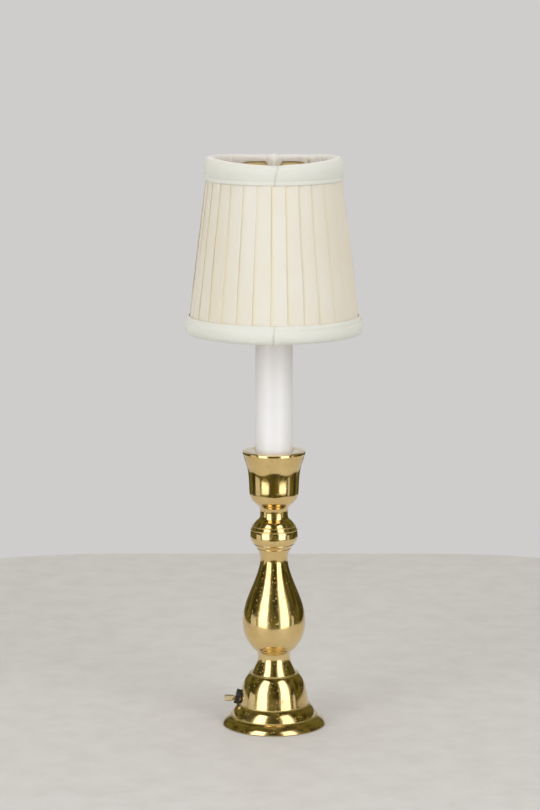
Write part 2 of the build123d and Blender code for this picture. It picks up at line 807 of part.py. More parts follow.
# Snap-in bushing: flange outside, barb behind the wall, bore for the cord
barb_end = inlet_barb_depth + inlet_barb_length
with BuildPart() as cord_bushing:
    with BuildSketch(inlet_section):
        with BuildLine():
            Polyline(
                (inlet_bore_radius, inlet_flange_thickness),
                (inlet_flange_radius - inlet_flange_edge, inlet_flange_thickness),
                (inlet_flange_radius, inlet_flange_thickness - inlet_flange_edge),
                (inlet_flange_radius, 0),
                (inlet_barrel_radius, 0),
                (inlet_barrel_radius, -inlet_barb_depth),
                (inlet_barb_radius, -inlet_barb_depth),
                (inlet_barrel_radius, -barb_end),
                (inlet_barrel_radius, -barb_end - inlet_tail),
                (inlet_bore_radius, -barb_end - inlet_tail),
                close=True,
            )
        make_face()
    revolve(axis=inlet_axis)
cord_bushing.part.label = "cord_bushing"
export_step(cord_bushing.part, "parts/cord_bushing.step")


# ======== Candle sleeve and bulb ========

with BuildPart() as candle_tube:
    with BuildSketch(Plane.XY.offset(tube_seat_z)):
        Circle(tube_radius)
        Circle(tube_radius - tube_wall, mode=Mode.SUBTRACT)
    extrude(amount=tube_length)
    chamfer(candle_tube.edges().group_by(Axis.Z)[-1].sort_by(SortBy.LENGTH)[-1], tube_edge)
candle_tube.part.label = "candle_tube"
export_step(candle_tube.part, "parts/candle_tube.step")

# Bulb: metal cap, glass insulator and tip, blown envelope, stem and filament
cap_bottom_z = bulb_tip_z + cap_tip_height + cap_insulator_height
with BuildPart() as bulb_cap:
    with BuildSketch(Plane.XY.offset(cap_bottom_z)):
        Circle(cap_radius)
        Circle(cap_radius - cap_wall, mode=Mode.SUBTRACT)
    extrude(amount=socket_top_z - cap_bottom_z)
bulb_cap.part.label = "bulb_cap"
export_step(bulb_cap.part, "parts/bulb_cap.step")

with BuildPart() as bulb_insulator:
    with BuildSketch(Plane.XZ):
        with BuildLine():
            Polyline(
                (0, bulb_tip_z + cap_tip_height),
                (cap_insulator_radius, bulb_tip_z + cap_tip_height),
                (cap_radius - cap_wall, cap_bottom_z),
                (0, cap_bottom_z),
                close=True,
            )
        make_face()
    revolve(axis=Axis.Z)
bulb_insulator.part.label = "bulb_insulator"
export_step(bulb_insulator.part, "parts/bulb_insulator.step")

with BuildPart() as bulb_contact:
    with BuildSketch(Plane.XY.offset(bulb_tip_z)):
        Circle(cap_tip_radius)
    extrude(amount=cap_tip_height)
bulb_contact.part.label = "bulb_contact"
export_step(bulb_contact.part, "parts/bulb_contact.step")

bulb_neck_radius = cap_radius - cap_wall - bulb_neck_clearance
bulb_neck_z = socket_top_z - bulb_neck_depth
bulb_top_z = socket_top_z + bulb_height
with BuildPart() as bulb_glass:
    for skin, solid_mode in ((0, Mode.ADD), (bulb_wall, Mode.SUBTRACT)):
        with BuildSketch(Plane.XZ):
            with BuildLine():
                neck_line = Polyline(
                    (0, bulb_neck_z),
                    (bulb_neck_radius - skin, bulb_neck_z),
                    (bulb_neck_radius - skin, socket_top_z),
                )
                lower_half = Spline(
                    neck_line @ 1,
                    (bulb_root_radius - skin, socket_top_z + bulb_root_height),
                    (bulb_radius - skin, bulb_widest_z),
                    tangents=((0.2, 1), (0, 1)),
                )
                upper_half = Spline(
                    lower_half @ 1,
                    (bulb_shoulder_radius - skin, socket_top_z + bulb_shoulder_height),
                    (0, bulb_top_z - skin),
                    tangents=((0, 1), (-1, 0)),
                )
                Line(upper_half @ 1, neck_line @ 0)
            make_face()
        revolve(axis=Axis.Z, mode=solid_mode)
bulb_glass.part.label = "bulb_glass"
export_step(bulb_glass.part, "parts/bulb_glass.step")

stem_top_z = bulb_neck_z + stem_height
with BuildPart() as bulb_stem:
    with BuildSketch(Plane.XZ):
        with BuildLine():
            Polyline(
                (0, bulb_neck_z),
                (bulb_neck_radius - bulb_wall - seat_clearance, bulb_neck_z),
                (stem_radius, bulb_neck_z + stem_flare_height),
                (stem_radius, stem_top_z),
                (0, stem_top_z),
                close=True,
            )
        make_face()
    revolve(axis=Axis.Z)
bulb_stem.part.label = "bulb_stem"
export_step(bulb_stem.part, "parts/bulb_stem.step")

wire_z = stem_top_z + filament_radius
with BuildPart() as bulb_filament:
    with BuildLine(Plane.XZ) as filament_path:
        FilletPolyline(
            (-stem_radius / 2, wire_z),
            (-filament_width / 2, wire_z + filament_height / 3),
            (-filament_width / 2, wire_z + filament_height),
            (filament_width / 2, wire_z + filament_height),
            (filament_width / 2, wire_z + filament_height / 3),
            (stem_radius / 2, wire_z),
            radius=filament_bend,
        )
    filament_start = filament_path.line ^ 0
    with BuildSketch(Plane(origin=filament_start.position, z_dir=filament_start.z_axis.direction)):
        Circle(filament_radius)
    sweep(path=filament_path.line)
bulb_filament.part.label = "bulb_filament"
export_step(bulb_filament.part, "parts/bulb_filament.step")


# ======== Shade ========

# Wire frame: two rings and the ribs between them
with BuildPart() as top_ring:
    with BuildSketch(Plane.XZ):
        with Locations((shade_radius(top_ring_z, frame_inset), top_ring_z)):
            Circle(ring_wire_radius)
    revolve(axis=Axis.Z)
top_ring.part.label = "top_ring"
export_step(top_ring.part, "parts/top_ring.step")

with BuildPart() as bottom_ring:
    with BuildSketch(Plane.XZ):
        with Locations((shade_radius(bottom_ring_z, frame_inset), bottom_ring_z)):
            Circle(ring_wire_radius)
    revolve(axis=Axis.Z)
bottom_ring.part.label = "bottom_ring"
export_step(bottom_ring.part, "parts/bottom_ring.step")

rib_low_z = bottom_ring_z + ring_wire_radius - clip_weld
rib_high_z = top_ring_z - ring_wire_radius + clip_weld
with BuildPart() as ribs:
    for rib in range(rib_count):
        rib_angle = radians(360 * rib / rib_count + rib_first_angle)
        rib_low_radius = shade_radius(rib_low_z, frame_inset)
        rib_high_radius = shade_radius(rib_high_z, frame_inset)
        rib_foot = Vector(rib_low_radius * cos(rib_angle), rib_low_radius * sin(rib_angle), rib_low_z)
        rib_head = Vector(rib_high_radius * cos(rib_angle), rib_high_radius * sin(rib_angle), rib_high_z)
        with BuildSketch(Plane(origin=rib_foot, z_dir=rib_head - rib_foot)):
            Circle(rib_wire_radius)
        extrude(amount=(rib_head - rib_foot).length)
ribs.part.label = "ribs"
export_step(ribs.part, "parts/ribs.step")

# Bulb clip: two wire loops that grip the glass, each on an arm from the top ring
loop_reach = bulb_radius + clip_wire_radius + clip_clearance
loop_y = sqrt(loop_reach**2 - clip_loop_half_width**2)
arm_end_y = shade_radius(top_ring_z, frame_inset) - ring_wire_radius + clip_weld
for clip_name, side in (("clip_front", -1), ("clip_back", 1)):
    with BuildPart() as clip:
        with BuildLine(Plane(origin=(0, side * loop_y, 0), x_dir=(1, 0, 0), z_dir=(0, -1, 0))) as loop_path:
            FilletPolyline(
                (clip_loop_half_width, loop_top_z),
                (clip_loop_half_width, loop_bottom_z),
                (-clip_loop_half_width, loop_bottom_z),
                (-clip_loop_half_width, loop_top_z),
                close=True,
                radius=clip_loop_bend,
            )
        loop_start = loop_path.line ^ 0
        with BuildSketch(Plane(origin=loop_start.position, z_dir=loop_start.z_axis.direction)):
            Circle(clip_wire_radius)
        sweep(path=loop_path.line)
        with BuildLine(Plane.YZ) as arm_path:
            FilletPolyline(
                (side * loop_y, loop_top_z),
                (side * (arm_end_y - clip_knee), top_ring_z),
                (side * arm_end_y, top_ring_z),
                radius=clip_knee_bend,
            )
        with BuildSketch(Plane(origin=(0, side * arm_end_y, top_ring_z), z_dir=(0, side, 0))):
            Circle(clip_wire_radius)
        sweep(path=arm_path.line)
    clip.part.label = clip_name
    export_step(clip.part, "parts/" + clip_name + ".step")


def pleat_outline(crest_radius, valley_radius):
    # knife pleats laid by hand: each runs in from its folded edge to the foot of the next
    outline = []
    for pleat in range(pleat_count):
        fold = pleat + pleat_drift * sin(2.4 * pleat)
        next_fold = pleat + 1 + pleat_drift * sin(2.4 * (pleat + 1))
        if pleat == pleat_count - 1:
            next_fold = pleat_count
        fold_angle = 2 * pi * fold / pleat_count
        foot_angle = 2 * pi * (next_fold - pleat_step) / pleat_count
        outline.append((crest_radius * cos(fold_angle), crest_radius * sin(fold_angle)))
        outline.append((valley_radius * cos(foot_angle), valley_radius * sin(foot_angle)))
    return outline


# Pleated cover over the frame, its ends under the trims
cover_bottom_z = shade_bottom_z + hem_depth
cover_top_z = shade_top_z - hem_depth
valley_share = 1 - pleat_depth / shade_bottom_radius
with BuildPart() as pleated_cover:
    for end_z in (cover_bottom_z, cover_top_z):
        crest_radius = shade_radius(end_z)
        with BuildSketch(Plane.XY.offset(end_z)):
            with BuildLine():
                Polyline(*pleat_outline(crest_radius, crest_radius * valley_share), close=True)
            make_face()
    loft(ruled=True)
    with BuildSketch(Plane.XZ):
        with BuildLine():
            Polyline(
                (0, cover_bottom_z),
                (shade_radius(cover_bottom_z, cover_thickness), cover_bottom_z),
                (shade_radius(cover_top_z, cover_thickness), cover_top_z),
                (0, cover_top_z),
                close=True,
            )
        make_face()
    revolve(axis=Axis.Z, mode=Mode.SUBTRACT)
pleated_cover.part.label = "pleated_cover"
export_step(pleated_cover.part, "parts/pleated_cover.step")

# Lining inside the frame, notched for the clip's arms
slot_width = 2 * (clip_wire_radius + clip_slot_clearance)
with BuildPart() as lining:
    with BuildSketch(Plane.XZ):
        with BuildLine():
            Polyline(
                (shade_radius(cover_bottom_z, lining_inset), cover_bottom_z),
                (shade_radius(cover_top_z, lining_inset), cover_top_z),
                (shade_radius(cover_top_z, lining_inset + lining_thickness), cover_top_z),
                (shade_radius(cover_bottom_z, lining_inset + lining_thickness), cover_bottom_z),
                close=True,
            )
        make_face()
    revolve(axis=Axis.Z)
    with BuildSketch(Plane.XZ):
        with Locations((0, top_ring_z)):
            Rectangle(slot_width, slot_width)
    extrude(amount=shade_top_radius, both=True, mode=Mode.SUBTRACT)
lining.part.label = "lining"
export_step(lining.part, "parts/lining.step")


def trim_section(edge_z, inward, puff):
    # a band folded over the shade's edge: wide leg outside, short hem inside;
    # inward is +1 for the bottom edge and -1 for the top edge
    leg_z = edge_z + inward * trim_height
    middle_z = edge_z + inward * trim_height / 2
    inside_z = edge_z + inward * trim_thickness
    hem_z = edge_z + inward * trim_hem
    outer_inset = -trim_clearance - trim_thickness
    hem_face_inset = hem_inset + trim_thickness
    outer_leg = Spline(
        (shade_radius(leg_z, outer_inset), leg_z),
        (shade_radius(middle_z, outer_inset - puff), middle_z),
        (shade_radius(edge_z, outer_inset), edge_z),
    )
    Polyline(
        outer_leg @ 1,
        (shade_radius(edge_z, hem_face_inset), edge_z),
        (shade_radius(hem_z, hem_face_inset), hem_z),
        (shade_radius(hem_z, hem_inset), hem_z),
        (shade_radius(inside_z, hem_inset), inside_z),
        (shade_radius(inside_z, -trim_clearance), inside_z),
        (shade_radius(leg_z, -trim_clearance), leg_z),
        outer_leg @ 0,
    )


# Trims: bands of the same cloth, folded over the shade's two edges
with BuildPart() as top_trim:
    with BuildSketch(Plane.XZ) as top_trim_section:
        with BuildLine():
            trim_section(shade_top_z, -1, top_trim_puff)
        make_face()
        fillet(top_trim_section.vertices().group_by(Axis.Y)[-1], trim_round)
    revolve(axis=Axis.Z)
    with BuildSketch(Plane.XZ):
        with Locations((0, top_ring_z)):
            Rectangle(slot_width, slot_width)
    extrude(amount=shade_radius(top_ring_z, lining_inset), both=True, mode=Mode.SUBTRACT)
top_trim.part.label = "top_trim"
export_step(top_trim.part, "parts/top_trim.step")

with BuildPart() as bottom_trim:
    with BuildSketch(Plane.XZ) as bottom_trim_section:
        with BuildLine():
            trim_section(shade_bottom_z, 1, bottom_trim_puff)
        make_face()
        fillet(bottom_trim_section.vertices().group_by(Axis.Y)[0], trim_round)
    revolve(axis=Axis.Z)
bottom_trim.part.label = "bottom_trim"
export_step(bottom_trim.part, "parts/bottom_trim.step")
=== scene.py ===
import json
import math
from math import cos, pi, radians, sin, sqrt

import bmesh
import bpy
from mathutils import Matrix, Vector, noise


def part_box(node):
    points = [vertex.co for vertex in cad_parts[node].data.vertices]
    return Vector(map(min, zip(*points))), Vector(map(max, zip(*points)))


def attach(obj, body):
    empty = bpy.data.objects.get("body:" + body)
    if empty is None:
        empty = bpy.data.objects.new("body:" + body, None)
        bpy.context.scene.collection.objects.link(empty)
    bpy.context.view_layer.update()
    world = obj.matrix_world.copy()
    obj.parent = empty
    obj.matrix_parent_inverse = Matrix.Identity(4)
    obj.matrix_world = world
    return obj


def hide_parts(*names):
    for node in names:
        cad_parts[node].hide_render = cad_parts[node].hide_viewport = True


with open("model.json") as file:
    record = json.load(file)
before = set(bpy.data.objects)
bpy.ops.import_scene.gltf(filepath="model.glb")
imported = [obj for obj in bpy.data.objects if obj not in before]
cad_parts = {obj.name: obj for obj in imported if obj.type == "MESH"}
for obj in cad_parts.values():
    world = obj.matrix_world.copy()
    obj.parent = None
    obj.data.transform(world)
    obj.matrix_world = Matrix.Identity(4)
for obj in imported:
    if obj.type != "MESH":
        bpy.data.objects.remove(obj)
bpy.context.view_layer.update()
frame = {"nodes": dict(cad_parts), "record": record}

print("frame loaded:", len(frame["nodes"]), "nodes")
mm = 0.001


# Shader writing

class Wire:
    # a socket that takes part in sums; node() adds any other node to the same tree
    def __init__(self, tree, socket=None):
        self.tree, self.socket = tree, socket

    def node(self, kind, settings=None, values=None, out=0):
        made = self.tree.nodes.new(kind)
        for key, value in (settings or {}).items():
            setattr(made, key, value)
        for key, value in (values or {}).items():
            if isinstance(value, Wire):
                self.tree.links.new(value.socket, made.inputs[key])
            else:
                made.inputs[key].default_value = value
        return Wire(self.tree, made.outputs[out])

    def math(self, operation, *terms):
        return self.node("ShaderNodeMath", {"operation": operation}, dict(enumerate(terms)))

    def __add__(self, other):
        return self.math("ADD", self, other)

    def __sub__(self, other):
        return self.math("SUBTRACT", self, other)

    def __rsub__(self, other):
        return self.math("SUBTRACT", other, self)

    def __mul__(self, other):
        return self.math("MULTIPLY", self, other)

    __radd__, __rmul__ = __add__, __mul__

    def between(self, low, high):
        # 0 at low, 1 at high, eased
        return self.node("ShaderNodeMapRange", {"interpolation_type": "SMOOTHSTEP"},
                         {"Value": self, "From Min": low, "From Max": high})

    def blend(self, first, second):
        # self chooses between two colours
        return self.node("ShaderNodeMix", {"data_type": "RGBA"},
                         {0: self, 6: colour(first), 7: colour(second)}, out=2)

    def stretched(self, scale):
        return self.node("ShaderNodeMapping", None, {"Vector": self, "Scale": scale})

    def noise(self, scale, detail=2.0, roughness=0.5):
        return self.node("ShaderNodeTexNoise", None,
                         {"Vector": self, "Scale": scale, "Detail": detail, "Roughness": roughness})

    def output(self, which):
        # another output of the node behind this socket
        return Wire(self.tree, self.socket.node.outputs[which])

    def cells(self, scale):
        return self.node("ShaderNodeTexVoronoi", None, {"Vector": self, "Scale": scale})


def colour(value):
    return value if isinstance(value, Wire) else (*value[:3], 1)


def newFinish(name, constants):
    # a material with its Principled node, set to the constants
    made = bpy.data.materials.new(name)
    made.use_nodes = True
    tree = made.node_tree
    shader = next(n for n in tree.nodes if n.type == "BSDF_PRINCIPLED")
    for key, value in constants.items():
        shader.inputs[key].default_value = value
    start = Wire(tree)
    place = start.node("ShaderNodeTexCoord", out=3)
    return made, shader, start, place


def feed(shader, start, base, rough, bump, depth, strength=1.0):
    links = start.tree.links
    links.new(base.socket, shader.inputs["Base Color"])
    links.new(rough.socket, shader.inputs["Roughness"])
    relief = start.node("ShaderNodeBump", None, {"Height": bump, "Distance": depth, "Strength": strength})
    links.new(relief.socket, shader.inputs["Normal"])


# Finishes

brassLook = {
    "gold": (0.84, 0.63, 0.28), "deepGold": (0.77, 0.54, 0.20), "tarnish": (0.30, 0.19, 0.07),
    # edge is a lighter gold painted along the steps' edges as a highlight line; edgeRough makes them matt as
    # wear
    "edge": (0.90, 0.73, 0.34), "edges": (0.0060, 0.0132, 0.0328), "edgeWidth": 0.00045,  # heights in metres
    "roughness": 0.10, "wear": 0.10, "speckRough": 0.25, "scratchRough": 0.07, "edgeRough": 0.32,
    "speckTarnish": 0.7, "pitTarnish": 0.25,
    "turningDepth": 0.0000012, "pitDepth": 0.00009, "scratchDepth": 0.000008, "waveDepth": 0.00008,
}


def brassFinish(name, look):
    constants = {"Metallic": 1.0, "Coat Weight": 1.0, "Coat Roughness": 0.08}
    made, shader, start, place = newFinish(name, constants)
    clouds = place.noise(34.0, 4.0, 0.55)
    cell = place.cells(640.0)
    chosen = cell.output(1).between(0.54, 0.60)
    pits = (1 - cell.between(0.16, 0.30)) * chosen * place.noise(55.0, 2.0, 0.5).between(0.46, 0.56)
    waves = place.noise(105.0, 2.0, 0.4)
    specks = 1 - place.noise(620.0, 3.0, 0.6).between(0.27, 0.32)
    rubbed = place.noise(90.0, 5.0, 0.65).between(0.42, 0.66)
    turning = place.stretched((60, 60, 5200)).noise(1.0, 3.0, 0.6)
    scratches = place.stretched((900, 240, 150)).noise(1.0, 5.0, 0.7).between(0.60, 0.74)
    base = clouds.between(0.35, 0.7).blend(look["gold"], look["deepGold"])
    base = (specks * look["speckTarnish"] + pits * look["pitTarnish"]).blend(base, look["tarnish"])
    height = start.node("ShaderNodeSeparateXYZ", None, {0: place}).output(2)
    edges = 0
    for level in look["edges"]:  # the steps' edges: rougher as matt wear, and a lighter gold there that is a painted highlight line
        away = height - level
        edges = (1 - away.math("ABSOLUTE", away).between(look["edgeWidth"] * 0.5, look["edgeWidth"])) + edges
    # painted highlight: the lighter gold along the steps' edges
    base = edges.blend(base, look["edge"])
    rough = rubbed * look["wear"] + look["roughness"] + specks * look["speckRough"]
    rough = rough + scratches * look["scratchRough"] + edges * look["edgeRough"]
    relief = waves * look["waveDepth"] + turning * look["turningDepth"]
    relief = relief - (specks + pits) * look["pitDepth"] - scratches * look["scratchDepth"]
    feed(shader, start, base, rough, relief, 1.0)
    return made


grainDepth = 0.00001  # of plain metal, in metres


def metalFinish(name, shade, darker, roughness, grain=(300, 300, 300), metallic=1.0):
    made, shader, start, place = newFinish(name, {"Metallic": metallic})
    patches = place.noise(150.0, 4.0, 0.6)
    lines = place.stretched(grain).noise(1.0, 4.0, 0.6)
    base = patches.between(0.35, 0.7).blend(shade, darker)
    rough = patches * 0.16 + lines * 0.10 + (roughness - 0.12)
    feed(shader, start, base, rough, lines, grainDepth)
    return made


def plasticFinish(name, shade, darker, roughness, depth=0.000015, scale=900.0):
    made, shader, start, place = newFinish(name, {"IOR": 1.49})
    patches = place.noise(45.0, 4.0, 0.6)
    grain = place.noise(scale, 3.0, 0.55)
    base = patches.between(0.3, 0.75).blend(shade, darker)
    rough = patches * 0.12 + grain * 0.08 + (roughness - 0.10)
    feed(shader, start, base, rough, grain, depth)
    return made


# what the three cloths share: shares of mottling and tint, of weave and slubs in the gaps, and roughness
weaving = {"wander": 1.4, "mottle": 0.4, "tint": 0.6, "weaveGap": 0.16, "slubGap": 0.35, "rough": 0.76,
           "grain": 0.08, "slubRelief": 0.9, "threadRelief": 0.5, "strength": 0.8}


def clothFinish(name, look):
    # plain weave in the cloth's own UV, in metres
    # one attribute carries painted shade in the creases, along seams and edges and under the hem, and on the
    # lining a faint mottle; a "tint" of 2 marks the trims' inner hem, painted paler as light
    made, shader, start, place = newFinish(name, {
        "Roughness": 0.85, "Sheen Weight": look["sheen"], "Sheen Roughness": 0.5, "IOR": 1.4,
        "Specular IOR Level": 0.25})
    flat = start.node("ShaderNodeUVMap", {"uv_map": "cloth"})
    split = start.node("ShaderNodeSeparateXYZ", None, {0: flat})
    across, along = split, split.output(1)
    pitch = look["thread"]
    wander = flat.noise(900.0, 2.0, 0.5) * weaving["wander"]
    warp = (across * (2 * pi / pitch) + wander).math("SINE", across * (2 * pi / pitch) + wander)
    weft = (along * (2 * pi / pitch) + wander).math("SINE", along * (2 * pi / pitch) + wander)
    weave = warp * weft * 0.5 + 0.5
    slub = flat.stretched((160, 1500, 1)).noise(1.0, 3.0, 0.6)
    thickThread = flat.stretched((1500, 160, 1)).noise(1.0, 3.0, 0.6)
    mottled = place.noise(38.0, 4.0, 0.6)
    fold = start.node("ShaderNodeAttribute", {"attribute_name": "fold"}, out=2)
    tint = start.node("ShaderNodeAttribute", {"attribute_name": "tint"}, out=2)
    base = mottled.between(0.3, 0.72) * weaving["mottle"] + tint * weaving["tint"]
    base = base.blend(look["pale"], look["warm"])
    # painted light: a tint of 2 turns the trims' inner hem to a paler colour, as if lit through
    base = tint.between(1.2, 1.5).blend(base, look["inside"])
    base = (weave * weaving["weaveGap"] + slub * thickThread * weaving["slubGap"]).blend(base, look["gap"])
    # painted shade: creases, seams, edges and the hem's shadow darkened towards one colour, on the lining
    # with a faint mottle
    base = fold.math("MINIMUM", fold, 1.0).blend(base, look["shadeAndMottleColour"])
    rough = weave * weaving["grain"] + slub * weaving["grain"] + weaving["rough"]
    relief = weave + slub * weaving["slubRelief"] + thickThread * weaving["threadRelief"]
    feed(shader, start, base, rough, relief, look["relief"], weaving["strength"])
    surface = Wire(start.tree, shader.outputs[0])
    glow = start.node("ShaderNodeBsdfTranslucent", None, {"Color": (*look["glow"], 1)})
    both = start.node("ShaderNodeMixShader", None, {0: look["through"], 1: surface, 2: glow})
    output = next(n for n in start.tree.nodes if n.type == "OUTPUT_MATERIAL")
    start.tree.links.new(both.socket, output.inputs[0])
    return made


def glassFinish(name):
    made, shader, start, place = newFinish(name, {"Transmission Weight": 1.0, "IOR": 1.46})
    streaks = place.stretched((60, 60, 14)).noise(1.0, 3.0, 0.5)
    base = streaks.blend((0.97, 0.98, 0.98), (0.93, 0.95, 0.95))
    feed(shader, start, base, streaks * 0.03 + 0.01, streaks, 0.00003)
    return made


# crease is the colour of painted shade in creases, seams and edges, and on the lining also of a faint mottle
coverLook = {"pale": (0.90, 0.885, 0.82), "warm": (0.88, 0.81, 0.68), "gap": (0.76, 0.70, 0.54),
             "shadeAndMottleColour": (0.90, 0.81, 0.50), "inside": (0.9, 0.9, 0.8), "glow": (0.96, 0.88, 0.70),
             "through": 0.23, "thread": 0.0005, "relief": 0.00006, "sheen": 0.15}
# inside is a paler colour painted on the trims' inner hem, standing in for light passing through and bouncing
# inside
trimLook = {"pale": (0.85, 0.86, 0.80), "warm": (0.83, 0.83, 0.745), "gap": (0.70, 0.69, 0.58),
            "shadeAndMottleColour": (0.60, 0.60, 0.49), "inside": (0.97, 0.935, 0.90), "glow": (0.97, 0.94, 0.86),
            "through": 0.22, "thread": 0.00042, "relief": 0.00005, "sheen": 0.2}
liningLook = {"pale": (0.98, 0.84, 0.46), "warm": (0.95, 0.77, 0.37), "gap": (0.72, 0.52, 0.24),
              "shadeAndMottleColour": (0.26, 0.18, 0.08), "inside": (0.9, 0.8, 0.5), "glow": (0.98, 0.82, 0.46),
              "through": 0.22, "thread": 0.0004, "relief": 0.00003, "sheen": 0.1}

finishes = {
    "brass": brassFinish("polishedBrass", brassLook),
    "steel": metalFinish("zincPlate", (0.62, 0.62, 0.60), (0.50, 0.50, 0.49), 0.36),
    "contact_brass": metalFinish("plainBrass", (0.78, 0.62, 0.32), (0.62, 0.47, 0.22), 0.34),
    "switch_metal": metalFinish("switchBrass", (0.93, 0.82, 0.56), (0.84, 0.70, 0.42), 0.46, (400, 400, 400)),
    "switch_black": metalFinish("blackenedNut", (0.020, 0.019, 0.017), (0.045, 0.042, 0.036), 0.42,
                                metallic=0.3),
    "socket_plastic": plasticFinish("phenolic", (0.035, 0.026, 0.020), (0.055, 0.040, 0.030), 0.42),
    "switch_plastic": plasticFinish("blackNylon", (0.020, 0.020, 0.020), (0.035, 0.034, 0.033), 0.48),
    "sleeve_white": plasticFinish("whiteSleeve", (0.80, 0.79, 0.78), (0.775, 0.76, 0.745), 0.36,
                                  0.00001, 420.0),
    "cap_metal": metalFinish("rolledCap", (0.80, 0.79, 0.75), (0.66, 0.65, 0.62), 0.30),
    "cap_glass": plasticFinish("blackGlass", (0.010, 0.010, 0.012), (0.020, 0.020, 0.022), 0.14),
    "bulb_glass": glassFinish("clearGlass"),
    "filament": metalFinish("tungsten", (0.32, 0.32, 0.33), (0.20, 0.20, 0.21), 0.45),
    "frame_wire": metalFinish("platedWire", (0.72, 0.60, 0.36), (0.58, 0.46, 0.25), 0.32),
    "cover_cloth": clothFinish("pleatedCloth", coverLook),
    "trim_cloth": clothFinish("trimCloth", trimLook),
    "lining_cloth": clothFinish("liningCloth", liningLook),
}
nodeSlots = {row["node"]: row["material_slot"] for row in frame["record"]["subparts"]}
for nodeName, nodeObject in frame["nodes"].items():
    nodeObject.data.materials.clear()
    nodeObject.data.materials.append(finishes[nodeSlots[nodeName]])
print("finishes ready:", len(finishes))


# The shade's cone, read from the frame

trimTop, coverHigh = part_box("top_trim")[1].z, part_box("pleated_cover")[1].z
trimBottom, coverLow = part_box("bottom_trim")[0].z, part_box("pleated_cover")[0].z
# the cone's sizes as they stand in part.py, and how far the cloth's crests pass the solid's, in metres
cone = {"topRadius": 0.0404, "bottomRadius": 0.0534, "height": 0.107, "past": 0.0001}
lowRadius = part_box("pleated_cover")[1].x + cone["past"]
coneSlope = (cone["topRadius"] - cone["bottomRadius"]) / cone["height"]


def coneRadius(z, inset):
    # radius of the cone through the pleats' crests; the inset goes inwards, in metres
    return lowRadius + coneSlope * (z - coverLow) - inset


def wave(x, y, seed):
    # smooth repeatable unevenness from -1 to 1
    return noise.noise(Vector((x, y, seed)))


def clothPiece(name, mesh, body, slotName, nodes, thickness):
    piece = bpy.data.objects.new(name, mesh)
    bpy.context.scene.collection.objects.link(piece)
    piece.data.materials.append(finishes[slotName])
    if thickness:
        skin = piece.modifiers.new("thickness", "SOLIDIFY")
        skin.thickness, skin.offset = thickness, 0.0
    for face in piece.data.polygons:
        face.use_smooth = True
    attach(piece, body)
    if nodes:
        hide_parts(*nodes)
    return piece


def grownSheet(columns, rows, place):
    # a ring of edges extruded row by row; place(column, row) gives position, flat (u, v), painted shade and
    # tint
    bm = bmesh.new()
    tags = {name: bm.verts.layers.int.new(name) for name in ("column", "row")}
    marks = {name: bm.verts.layers.float.new(name) for name in ("fold", "tint")}
    uvTag = bm.loops.layers.uv.new("cloth")
    ring = bmesh.ops.create_circle(bm, segments=columns, radius=coverLow)["verts"]
    for column, vert in enumerate(ring):
        vert[tags["column"]] = column
    edges = list(bm.edges)
    for row in range(1, rows):
        grown = bmesh.ops.extrude_edge_only(bm, edges=edges)["geom"]
        edges = [g for g in grown if isinstance(g, bmesh.types.BMEdge)]
        for vert in (g for g in grown if isinstance(g, bmesh.types.BMVert)):
            vert[tags["row"]] = row
    for vert in bm.verts:
        vert.co, _, vert[marks["fold"]], vert[marks["tint"]] = place(vert[tags["column"]], vert[tags["row"]])
    for face in bm.faces:
        wraps = {0, columns - 1} <= {v[tags["column"]] for v in face.verts}
        for loop in face.loops:
            column = loop.vert[tags["column"]]
            loop[uvTag].uv = place(columns if wraps and column == 0 else column, loop.vert[tags["row"]])[1]
    bmesh.ops.recalc_face_normals(bm, faces=bm.faces)
    mesh = bpy.data.meshes.new("cloth")
    bm.to_mesh(mesh)
    bm.free()
    return mesh


# Pleated cover: one continuous sheet laid in knife pleats

pleats = {
    # degrees from -Y, measured in the photograph; the other folds are spread evenly, as a guess
    "frontFolds": (-62.4, -50.5, -38.4, -26.4, -14.6, -2.4, 9.0, 20.2, 31.6, 44.6, 57.2, 69.6),
    "creaseShades": (1.0, 0.9, 0.7, 0.7, 0.5, 0.6, 0.95, 0.75, 0.35, 0.5, 0.55, 0.6),
    "tintsAndSideShade": (0.7, 0.5, 0.75, 0.45, 0.3, 0.25, 0.0, 0.3, 0.55, 0.6, 0.8, 0.75),
    "count": 30, "lift": 0.15 * mm, "rows": 72, "thickness": 0.2 * mm,
    "wander": 0.5, "billow": 0.35 * mm, "unevenness": 0.16 * mm, "leftEase": 0.4, "easeTurn": 66,
    "easeWidth": 24, "spread": 0.10, "leastStep": 0.00012, "pressed": 12, "deep": 0.58, "deepWander": 0.26,
    "creaseWander": 0.35, "tintWander": 0.25,
}
# the count of 30 follows the front folds' pitch; the solid cover in part.py has 32
# share of the way from the last fold to this one, depth under the crest in mm, painted shade in the crease
pleatPath = (
    (-0.42, 0.78, 0.2), (-0.22, 0.77, 0.5), (-0.07, 0.74, 0.9), (0.0, 0.70, 0.95), (0.05, 0.62, 0.75),
    (0.12, 0.50, 0.4), (0.25, 0.34, 0.12), (0.45, 0.18, 0.03), (0.7, 0.05, 0.0), (0.86, -0.02, 0.0),
    (0.95, -0.03, 0.0), (0.985, 0.02, 0.1), (1.0, 0.13, 0.3), (0.985, 0.25, 0.3), (0.93, 0.34, 0.2),
    (0.75, 0.42, 0.1), (0.60, 0.48, 0.1), (0.57, 0.62, 0.1),
)
foldAngles = list(pleats["frontFolds"])
restCount = pleats["count"] - len(foldAngles)
restStep = (360 - (foldAngles[-1] - foldAngles[0])) / (restCount + 1)
for extra in range(restCount):
    lastFold = foldAngles[len(pleats["frontFolds"]) - 1 + extra]
    foldAngles.append(lastFold + restStep * (1 + pleats["spread"] * sin(2.7 * extra)))
pathCount = len(pleatPath)
coverColumns = pleats["count"] * pathCount


